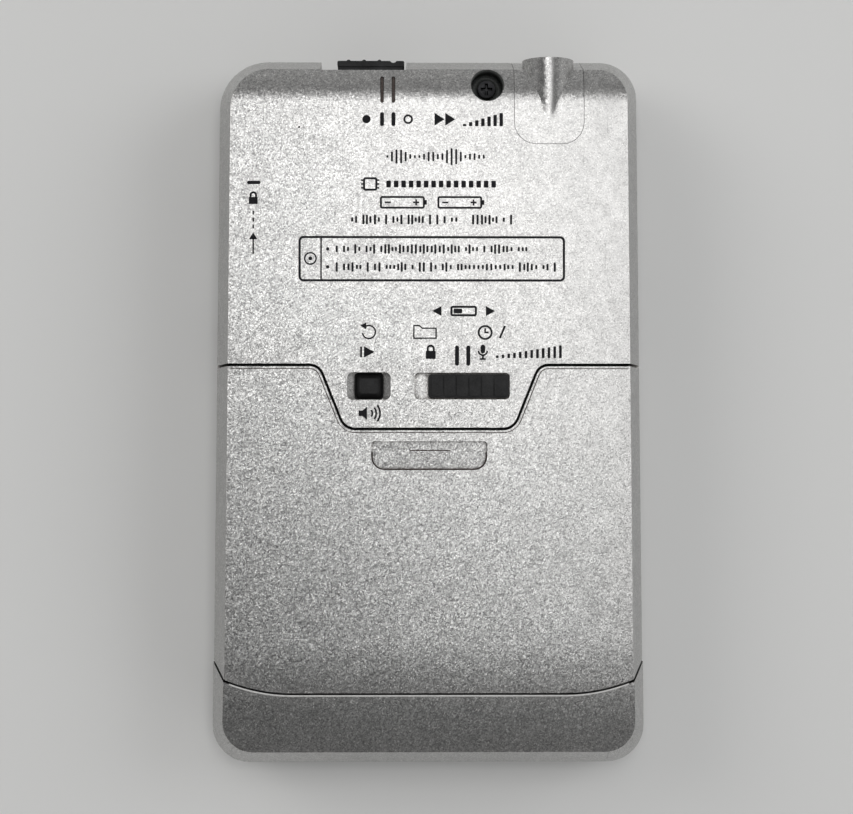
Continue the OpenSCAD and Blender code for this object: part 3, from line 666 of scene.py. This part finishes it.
def framed_panel(p):
    """A plain framed panel: a ring in its left field and two lines of dashes."""
    x, low, high = -16.9, 16.85, 22.5
    p.frame(x, 17.6, low, high, 0.5, 0.3)
    p.line([(x + 2.8, low + 0.1), (x + 2.8, high - 0.1)], 0.2)
    p.ring(x + 1.4, 19.7, 0.75, 0.2)
    p.disc(x + 1.4, 19.7, 0.25)
    for y, x1, seed in ((20.95, 12.6, 11), (18.6, 17.0, 17)):
        p.disc(-13.25, y, 0.22)
        dashes(p, -12.2, x1, y, 1.25, seed)


def mode_signs(p):
    """The signs over the mode slide: its picture, a folder, a lock, a clock and a microphone."""
    row = 12.85
    p.frame(2.9, 6.1, row - 0.55, row + 0.55, 0.2, 0.28)
    p.bar(3.2, 4.3, row - 0.3, row + 0.3, 0.1)
    p.triangle(7.4, row, 1.2, 1.3)
    p.face([(1.6, row - 0.65), (1.6, row + 0.65), (0.4, row)])
    for x in (3.63, 5.1):
        p.bar(x - 0.26, x + 0.26, 5.7, 8.35)
    folder = [(-2.0, 9.3), (-2.0, 10.95), (-1.3, 10.95), (-0.9, 10.6), (0.9, 10.6), (0.9, 9.3)]
    p.line(folder, 0.18, closed=True)
    padlock(p, 0.2, 7.5, 1.8)
    clock = 7.3, 10.05
    p.ring(*clock, 0.85, 0.26)
    p.line([(7.3, 10.6), clock, (7.75, 10.05)], 0.22)
    p.line([(9.2, 9.3), (9.9, 10.9)], 0.26)
    microphone(p, 7.0, 7.5, 1.9)
    rising_scale(p, 8.7, 6.7, 12, 0.75, 0.35, 0.35, 0.12)


def replay_signs(p):
    """The signs round the replay key: a turning arrow, play and a sounding loudspeaker."""
    p.line(arc(-7.86, 10.1, 0.85, 120, -170, 18), 0.2)
    p.face([(-8.2, 10.45), (-8.2, 11.35), (-9.0, 10.95)])
    p.triangle(-8.5, 7.5, 1.4, 1.5)
    p.bar(-9.0, -8.75, 6.8, 8.2, 0.08)
    p.face([(-9.2, -0.85), (-8.7, -0.85), (-8.1, -1.35), (-8.1, 0.35), (-8.7, -0.15), (-9.2, -0.15)])
    for r in (0.7, 1.2, 1.7):
        p.line(arc(-8.1, -0.5, r, -38, 38, 8), 0.24)


def hold_signs(p):
    """The signs beside the hold slide: a bar, a lock, a dashed line and an arrow."""
    x = -22.95
    p.bar(x - 0.8, x + 0.95, 29.4, 29.85)
    padlock(p, x, 27.6, 1.6)
    for k in range(3):
        p.bar(x - 0.1, x + 0.1, 25.4 - k * 0.9, 25.95 - k * 0.9)
    p.line([(x, 20.3), (x, 22.4)], 0.2)
    p.face([(x - 0.55, 22.2), (x + 0.55, 22.2), (x, 23.1)])


def rear_print():
    """The marks on the rear face: plain pictures and bars, with no lettering."""
    p = Marks()
    for draw in (speed_signs, sound_wave, memory_signs, framed_panel, mode_signs, replay_signs, hold_signs):
        draw(p)
    p.disc(-17.0, 36.9, 0.14)                   # a speck in the paint
    p.piece("rear_print", "case", ink_black, "black_plastic")


rear_print()


# ---------------------------------------------------------------- details of the rear face
# the door's seam: its two arms and the tongue's end along Y, the corners of its slopes, and its width
SEAM = {"arm": 6.0, "tongue": -2.35, "arm_x": 14.25, "end_x": 10.9, "arm_r": 2, "end_r": 1.9, "gap": 0.36,
        "rim": 0.36, "rim_drop": 0.2}
SLANT = 0.66                                    # how much a slope moves aside for each mm of offset
CAP = {"y": -37.25, "flat": 17.8, "r": 22}      # the cap's seam: straight part, then an arc to each side
SCREW_WELL = {"floor": 9.21, "r": 2.15, "screw_r": 1.25}
RECESS = {"x": 5.85, "y": -6.2, "corner": 1.58, "floor": 13.3, "slope": 0.3 / 4.2}


def face_height(y):
    """Height of the rear face above a point, in mm."""
    for bend, r, side in ((*LOW_BEND, -1), (*TOP_BEND, 1)):
        if (y - bend) * side > 0:
            return FACE_Z - r + math.sqrt(r * r - (y - bend) ** 2)
    return FACE_Z


def tube_mesh(rings, closed_ends=False):
    """A mesh through rings of points, each ring closed on itself."""
    bm = bmesh.new()
    rows = [[bm.verts.new(Vector(p) * MM) for p in ring] for ring in rings]
    n = len(rows[0])
    for a, b in zip(rows, rows[1:]):
        for i in range(n):
            bm.faces.new((a[i], a[(i + 1) % n], b[(i + 1) % n], b[i]))
    if closed_ends:
        bm.faces.new(rows[0][::-1])
        bm.faces.new(rows[-1])
    else:
        for i in range(n):
            bm.faces.new((rows[-1][i], rows[-1][(i + 1) % n], rows[0][(i + 1) % n], rows[0][i]))
    bmesh.ops.recalc_face_normals(bm, faces=bm.faces)
    return bm


def join(bm, part):
    """Adds one mesh to another."""
    mesh = bpy.data.meshes.new("part")
    part.to_mesh(mesh)
    part.free()
    bm.from_mesh(mesh)
    bpy.data.meshes.remove(mesh)


def turn(r, n=40):
    """Pairs of offsets round a circle."""
    angles = (2 * math.pi * k / n for k in range(n))
    return [(r * math.cos(a), r * math.sin(a)) for a in angles]


def circle(x, y, z, r):
    """A level circle."""
    return [(x + u, y + v, z) for u, v in turn(r)]


def screw_well():
    """The dark grey lining of the deep screw hole, cut along the sloping face, and the floor under the head:
    unpainted plastic, and partly painted shade deep in the hole.
    """
    r, seat = SCREW_WELL["r"], SCREW_WELL["floor"]

    def level(radius, z):
        return circle(SCREW.x, SCREW.y, z, radius)

    def sloping(radius, drop):
        return [(x, y, face_height(y) - drop) for x, y, z in level(radius, 0)]

    low = seat + 0.04
    wall = [level(r + 0.04, low), sloping(r + 0.04, 0.16), sloping(r - 0.03, 0.2), level(r - 0.05, low)]
    add_piece("screw_well", tube_mesh(wall), "case", well_grey, True)
    inner = SCREW_WELL["screw_r"]
    top = seat + 0.09
    ring = [level(r, seat), level(r - 0.05, top), level(inner + 0.02, top), level(inner, seat)]
    add_piece("screw_seat", tube_mesh(ring), "case", well_grey, True)


def groove_fill():
    """A dark brown fill in the two engraved marks over the speed slide."""
    start, steps, stride = 40.2, 12, 0.285
    deep, thick = 0.12, 0.2
    bm = bmesh.new()
    for x in SLIDE_MARKS_X:
        rows = []
        for k in range(steps + 1):
            y = start + k * stride
            w = 0.15 if 0 < k < steps else 0.08
            z = face_height(y) - deep
            rows.append([(x - w, y, z - thick), (x + w, y, z - thick), (x + w, y, z), (x - w, y, z)])
        join(bm, tube_mesh(rows, True))
    add_piece("groove_fill", bm, "case", dark_brown_and_painted_shade)


def rounded_path(corners, n=6):
    """A path whose inner corners (x, y, radius) are rounded."""
    out = [corners[0][:2]]
    for (ax, ay, _), (px, py, r), (bx, by, _) in zip(corners, corners[1:], corners[2:]):
        p = Vector((px, py))
        u = (Vector((ax, ay)) - p).normalized()
        v = (Vector((bx, by)) - p).normalized()
        half = math.acos(max(-1, min(1, u.dot(v)))) / 2
        reach = r / math.tan(half)
        for k in range(n + 1):
            f = k / n
            a = p + u * reach
            b = p + v * reach
            out.append(tuple(a * (1 - f) ** 2 + p * 2 * f * (1 - f) + b * f * f))
    out.append(corners[-1][:2])
    return out


def seam_path(g, reach):
    """The line of the door's seam, g mm inside the door."""
    ax, ex = SEAM["arm_x"] + SLANT * g, SEAM["end_x"] + SLANT * g
    arm, tip = SEAM["arm"] - g, SEAM["tongue"] - g
    arm_r, end_r = SEAM["arm_r"] - g, SEAM["end_r"] + g
    return rounded_path([(-reach, arm, 0), (-ax, arm, arm_r), (-ex, tip, end_r), (ex, tip, end_r),
                         (ax, arm, arm_r), (reach, arm, 0)])


def seam_painted_shade():
    """Painted shade: black strips deep in the door's seam and in the cap's, which darken the gaps, and a
    thin dark line along the door's rim that stands in for the shadow of its step.
    """
    seam_shade_black = MATERIALS["black_rubber"]
    p = Marks()
    # painted shade: a black strip on the ledge under the door's seam
    p.ribbon(seam_path(SEAM["gap"] / 2, 25.1), 1.5, 11.6, 12.3)
    p.piece("door_seam_painted_shade", "case", seam_shade_black, "black_rubber")
    p = Marks()
    y = CAP["y"] + 0.2
    # painted shade: a black strip under the cap's seam
    p.ribbon([(-13.2, y), (13.2, y)], 1.6, 11.8, 12.5)
    p.piece("cap_seam_painted_shade", "door", seam_shade_black, "black_rubber")
    p = Marks()
    rim = FACE_Z - SEAM["rim_drop"]
    # painted shadow: a thin dark line at the foot of the rim's step
    p.ribbon(seam_path(SEAM["gap"] + SEAM["rim"] - 0.04, 25.9), 0.13, rim - 0.05, rim + 0.03)
    p.piece("door_rim_painted_shade", "door", dark_brown_and_painted_shade, "black_plastic")


def cap_lip():
    """The rounded lip of the end cap along its seam, pale as a painted highlight where its edge would catch
    the light.
    """
    reach, stride = 26, 0.5                     # half its width, and the step between its points
    rows = []
    last = round(reach / stride)
    for k in range(-last, last + 1):
        x = k * stride
        y = CAP["y"] + max(0, abs(x) - CAP["flat"]) ** 2 / (2 * CAP["r"])
        z = face_height(y) + 0.012
        rows.append([(x, y - 0.08, z - 0.05), (x, y - 0.08, z), (x, y + 0.02, z), (x, y + 0.11, z - 0.04),
                     (x, y + 0.13, z - 0.2), (x, y - 0.02, z - 0.3)])
    add_piece("cap_lip", tube_mesh(rows, True), "door", painted_edge_highlight, True)


def recess_painted_shadow():
    """Painted shadow: a dark line along the low edge of the thumb recess, where its steep wall casts its
    shadow.
    """
    x, y, r = RECESS["x"], RECESS["y"], RECESS["corner"]
    end_x, end_y = x + r, y + 0.6
    low_edge = arc(-x, y, r, 180, 270, 8) + arc(x, y, r, 270, 360, 8)
    p = Marks()
    # painted shadow at the foot of the recess's low wall
    p.ribbon([(-end_x, end_y)] + low_edge + [(end_x, end_y)], 0.16, RECESS["floor"], RECESS["floor"] + 0.3)
    p.piece("recess_painted_shadow", "door", dark_brown_and_painted_shade, "black_plastic")


def door_arrow():
    """The raised arrowhead in the thumb recess and the thin line over it."""
    surface = RECESS["floor"] + 2.2 * RECESS["slope"]
    p = Marks()
    p.ribbon([(-2.2, -5.5), (2.2, -5.5), (0, -6.65)], 0.2, surface - 0.1, surface + 0.12, True)
    p.piece("door_arrow", "door", MATERIALS["silver_paint"], "silver_paint")
    p = Marks()
    p.ribbon([(-2.5, -5.33), (2.8, -5.33)], 0.13, surface - 0.05, surface + 0.07)
    p.piece("door_arrow_line", "door", dark_brown_and_painted_shade, "black_plastic")


screw_well()
groove_fill()
seam_painted_shade()
cap_lip()
recess_painted_shadow()
door_arrow()


# ---------------------------------------------------------------- details of the front face
PLATE = 1.2                     # the front plate's thickness, in mm
BUTTON_X, BUTTON_Y = (-10, 0, 9.5), (16, 7)
BUTTON_FACE = low_high("play_button", "z")[0]
WINDOW = {"x": 15.1, "low": 23.6, "high": 37.2, "border": 2.1}      # middle line of its dark border
LCD_FACE = low_high("lcd_module", "z")[0]
DIGIT_ROWS = (27.6, 30.4, 33.2)
SPEAKER = middle("speaker_frame")
SPEAKER_R = low_high("speaker_frame", "x")[1]


def draw_disc(p, x, y):
    p.disc(x, y, 0.85)


def draw_square(p, x, y):
    p.bar(x - 0.8, x + 0.8, y - 0.8, y + 0.8, 0.08)


def draw_play(p, x, y):
    p.triangle(x + 0.8, y, -1.7, 1.9)


def draw_arrows(p, x, y, way):
    """Two arrowheads, one after the other."""
    for k in (-1.15, 0.15):
        p.face([(x + way * k, y - 0.7), (x + way * (k + 1.1), y), (x + way * k, y + 0.7)][::way])


def draw_back(p, x, y):
    draw_arrows(p, x, y, 1)


def draw_forward(p, x, y):
    draw_arrows(p, x, y, -1)


def draw_cross(p, x, y):
    reach, stroke = 0.7, 0.28
    p.line([(x - reach, y - reach), (x + reach, y + reach)], stroke)
    p.line([(x - reach, y + reach), (x - 0.1, y + 0.1)], stroke)
    p.line([(x + 0.1, y - 0.1), (x + reach, y - reach)], stroke)


def key_marks():
    """Plain pictures on the six front keys. The front is seen from below, so right is -X."""
    pictures = (("record", draw_disc), ("play", draw_play), ("stop", draw_square),
                ("back", draw_back), ("forward", draw_forward), ("erase", draw_cross))
    spots = [(x, y) for y in BUTTON_Y for x in BUTTON_X]
    for (name, draw), (x, y) in zip(pictures, spots):
        p = Marks(BUTTON_FACE, down=True)
        draw(p, x, y)
        p.piece(name + "_mark", name + "_key", white_ink, "white_plastic")


def window_border():
    """A dark border behind the window."""
    x, low, high = WINDOW["x"], WINDOW["low"], WINDOW["high"]
    p = Marks()
    p.ribbon([(-x, low), (x, low), (x, high), (-x, high)], WINDOW["border"], 1.71, 1.76, True)
    p.piece("window_border", "case", ink_black, "black_plastic")


def digit(p, x):
    """All seven strokes of one digit, which ends at x."""
    for y in DIGIT_ROWS:
        p.bar(x - 2.25, x - 0.35, y - 0.22, y + 0.22, 0.18)
    for y in DIGIT_ROWS[:2]:
        for side in (x - 2.65, x - 0.4):
            p.bar(side, side + 0.42, y + 0.3, y + 2.5, 0.18)


def lcd_segments():
    """Four digits with a colon between them, and a level scale beside them."""
    p = Marks(LCD_FACE, down=True)
    for k in range(4):
        digit(p, 9.6 - k * 4.4 - (1.2 if k > 1 else 0))
    for y in (29.2, 31.6):
        p.bar(0.02, 0.62, y - 0.3, y + 0.3, 0.1)
    for k in range(8):
        y = 25.8 + k * 1.15
        p.bar(11.8, 13.4, y, y + 0.7, 0.1)
    p.piece("lcd_segments", "case", lcd_ink, "lcd_glass")


def speaker_cloth():
    """Fine black cloth between the front plate and the speaker's gasket."""
    p = Marks()
    p.solid(arc(0, SPEAKER.y, SPEAKER_R - 0.3, 0, 352.5, 47), PLATE + 0.002, PLATE + 0.018)
    p.piece("speaker_cloth", "case", MATERIALS["cone_film"], "cone_film")


def circle_round_x(x, y, z, r):
    """A circle that faces the side of the case."""
    return [(x, y + u, z + v) for u, v in turn(r)]


def jack_rings():
    """A nickelled ring in the mouth of each socket."""
    inner, outer = 25.72, 27.95                 # how far out the ring starts and ends
    bm = bmesh.new()
    for at in SOCKETS:
        profile = ((inner, 2.0), (outer, 2.0), (outer + 0.1, 1.92), (outer, 1.82), (inner, 1.8))
        join(bm, tube_mesh([circle_round_x(x, at.y, at.z, r) for x, r in profile]))
    add_piece("jack_rings", bm, "case", MATERIALS["steel"], True)


def wire_spring(name, x, y0, y1, r0, r1, turns, wire=0.19):
    """A conical spring of round wire along Y, whose end turns lie flat."""
    steps, sides, flat = int(turns * 28), 8, 0.7
    rows = []
    for i in range(steps + 1):
        f = i / steps
        a = 2 * math.pi * turns * f
        r = r0 + (r1 - r0) * f
        y = y0 + (y1 - y0) * min(1, max(0, (f * turns - flat) / (turns - 2 * flat)))
        out = Vector((math.cos(a), 0, math.sin(a)))
        middle_line = Vector((x, y, CELL.z)) + out * r
        rows.append([middle_line + out * u + Vector((0, v, 0)) for u, v in turn(wire, sides)])
    steel = MATERIALS["spring_steel"]
    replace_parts(add_piece(name + "_wire", tube_mesh(rows, True), "case", steel, True), name)


def cell_springs():
    """The wound wire of both cell springs: wide at the foot, narrow at the cell."""
    wide, narrow, turns = 2.8, 2.1, 2.6
    wire_spring("link_spring", -CELL.x, CELL_ENDS[0] - 0.9, CELL_ENDS[0] - 0.15, wide, narrow, turns)
    wire_spring("negative_spring", CELL.x, CELL_ENDS[1] + 0.85, CELL_ENDS[1] + 0.25, wide, narrow, turns)


def pin_row(legs, start, end, edge, n, along_x):
    """A row of pins down both sides of a chip; `edge` holds the places of its two sides."""
    wide, out, tall = 0.14, 0.42, 0.2
    for k in range(n):
        f = start + (end - start) * (k + 0.5) / n
        for side in (edge[0] - out, edge[1] + out):
            x, y, w, h = (f, side, wide, out) if along_x else (side, f, out, wide)
            legs.block(x - w, x + w, y - h, y + h, BOARD_TOP + 0.01, BOARD_TOP + tall)


def chip_pins():
    """The pins of the processor, on all four sides, and of the two memory chips."""
    legs = Marks()
    pin_row(legs, -8.6, 0.6, (20, 30), 14, True)
    pin_row(legs, 20.4, 29.6, (-9, 1), 14, False)
    for y in (14, 24):
        pin_row(legs, y - 3.7, y + 3.7, (6, 18.4), 11, False)
    legs.piece("chip_pins", "case", tin, "steel")


def small_parts():
    """Small chip parts in short rows on the main board, with their tinned ends."""
    rnd = random.Random(7)
    bodies, ends = Marks(), Marks()
    low, high = BOARD_TOP + 0.01, BOARD_TOP + 0.5
    spots = [(-12.5, y) for y in (20.5, 22.5, 24.5, 26.5, 28.5)]
    spots += [(x, 33) for x in (-8, -5.5, -3)] + [(4, y) for y in (9.5, 11.5, 13.5)]
    spots += [(x, 16.5) for x in (-7, -4.5, -2)] + [(x, 31) for x in (11, 13.5, 16)]
    for x, y in spots:
        w, h = rnd.choice(((0.8, 0.45), (0.6, 0.35)))
        inner = w * 0.6
        bodies.block(x - inner, x + inner, y - h, y + h, low, high)
        for x0, x1 in ((x - w, x - inner), (x + inner, x + w)):
            ends.block(x0, x1, y - h, y + h, low, high)
    bodies.piece("small_parts", "case", MATERIALS["chip_black"], "chip_black")
    ends.piece("small_part_ends", "case", tin, "steel")


key_marks()
window_border()
lcd_segments()
speaker_cloth()
jack_rings()
cell_springs()
chip_pins()
small_parts()


# ---------------------------------------------------------------- floor, light, camera
def floor():
    """A plain pale floor under the object."""
    bpy.ops.mesh.primitive_plane_add(size=6, location=(0, 0, 0))
    o = bpy.context.object
    o.name = "floor"
    m, t, b = new_material("floor_paint", (0.78, 0.78, 0.77), 0.7)
    o.data.materials.append(m)


def area_light(name, spot, target, size, power, size_y=None, colour=(1, 1, 1), shiny=True):
    """A soft light; one that isn't shiny has no reflection of its own."""
    d = bpy.data.lights.new(name, "AREA")
    d.energy = power
    d.color = colour
    d.size = size
    if size_y:
        d.shape = "RECTANGLE"
        d.size_y = size_y
    o = bpy.data.objects.new(name, d)
    o.location = spot
    o.rotation_euler = (Vector(target) - Vector(spot)).to_track_quat("-Z", "Y").to_euler()
    o.visible_glossy = shiny
    bpy.context.scene.collection.objects.link(o)


def lights():
    """The studio's six soft lights; places and sizes are in metres."""
    origin = (0, 0, 0)
    warm, cool = (1.0, 0.985, 0.96), (0.97, 0.985, 1.0)
    # overhead softboxes: a main one towards the microphone's end and one that reaches down the right side
    area_light("main_box", (0.02, 0.1485, 0.614), (0.02, 0.1485, 0), 0.26, 0.73, 0.273)
    area_light("right_box", (0.1, -0.044, 0.614), (0.1, -0.044, 0), 0.12, 0.13, 0.11)
    # large side lights that keep the floor pale
    area_light("side_left", (-0.95, 0.45, 0.7), origin, 0.7, 2.6, colour=warm, shiny=False)
    area_light("side_right", (0.95, 0.35, 0.7), origin, 0.7, 2.6, colour=cool, shiny=False)
    # two softboxes along the diagonals, for the sheen of the paint from the corners
    area_light("sheen_back", (-0.8, 0.78, 0.47), origin, 0.9, 1.5, 0.45)
    area_light("sheen_front", (0.8, -0.78, 0.36), origin, 0.9, 1.2, 0.4)


def studio_world():
    """A grey room: brightest a little above its horizon and on its right, dark overhead."""
    world = bpy.data.worlds.new("studio")
    world.use_nodes = True
    sky = world.node_tree
    way = sky.nodes.new("ShaderNodeTexCoord").outputs["Generated"]
    glow = ramp(sky, axis_of(sky, way, "Z"), [(0.0, 0.40), (0.42, 0.52), (0.72, 0.36), (0.90, 0.05)])
    aside = calc(sky, "MULTIPLY_ADD", axis_of(sky, way, "X"), 0.5)
    right = ramp(sky, aside, [(0.1, 0.7), (0.9, 1.25)])
    sky.links.new(blend(sky, 1.0, glow, right, "MULTIPLY"), sky.nodes["Background"].inputs["Color"])
    bpy.context.scene.world = world


CAMERA_MM = (-3.85, -6.125, 284)
AIM_MM = (-0.35, 0.325, 14)


def camera():
    """The photo's camera: nearly straight above the rear face."""
    data = bpy.data.cameras.new("camera")
    data.lens = 87.5
    data.sensor_width = 36
    cam = bpy.data.objects.new("camera", data)
    cam.location = Vector(CAMERA_MM) * MM
    ahead = (Vector(AIM_MM) - Vector(CAMERA_MM)).normalized()
    right = ahead.cross(Vector((0, 1, 0))).normalized()
    cam.rotation_euler = Matrix((right, right.cross(ahead), -ahead)).transposed().to_euler()
    bpy.context.scene.collection.objects.link(cam)
    bpy.context.scene.camera = cam


floor()
lights()
studio_world()
bpy.context.scene.view_settings.view_transform = "Standard"
camera()
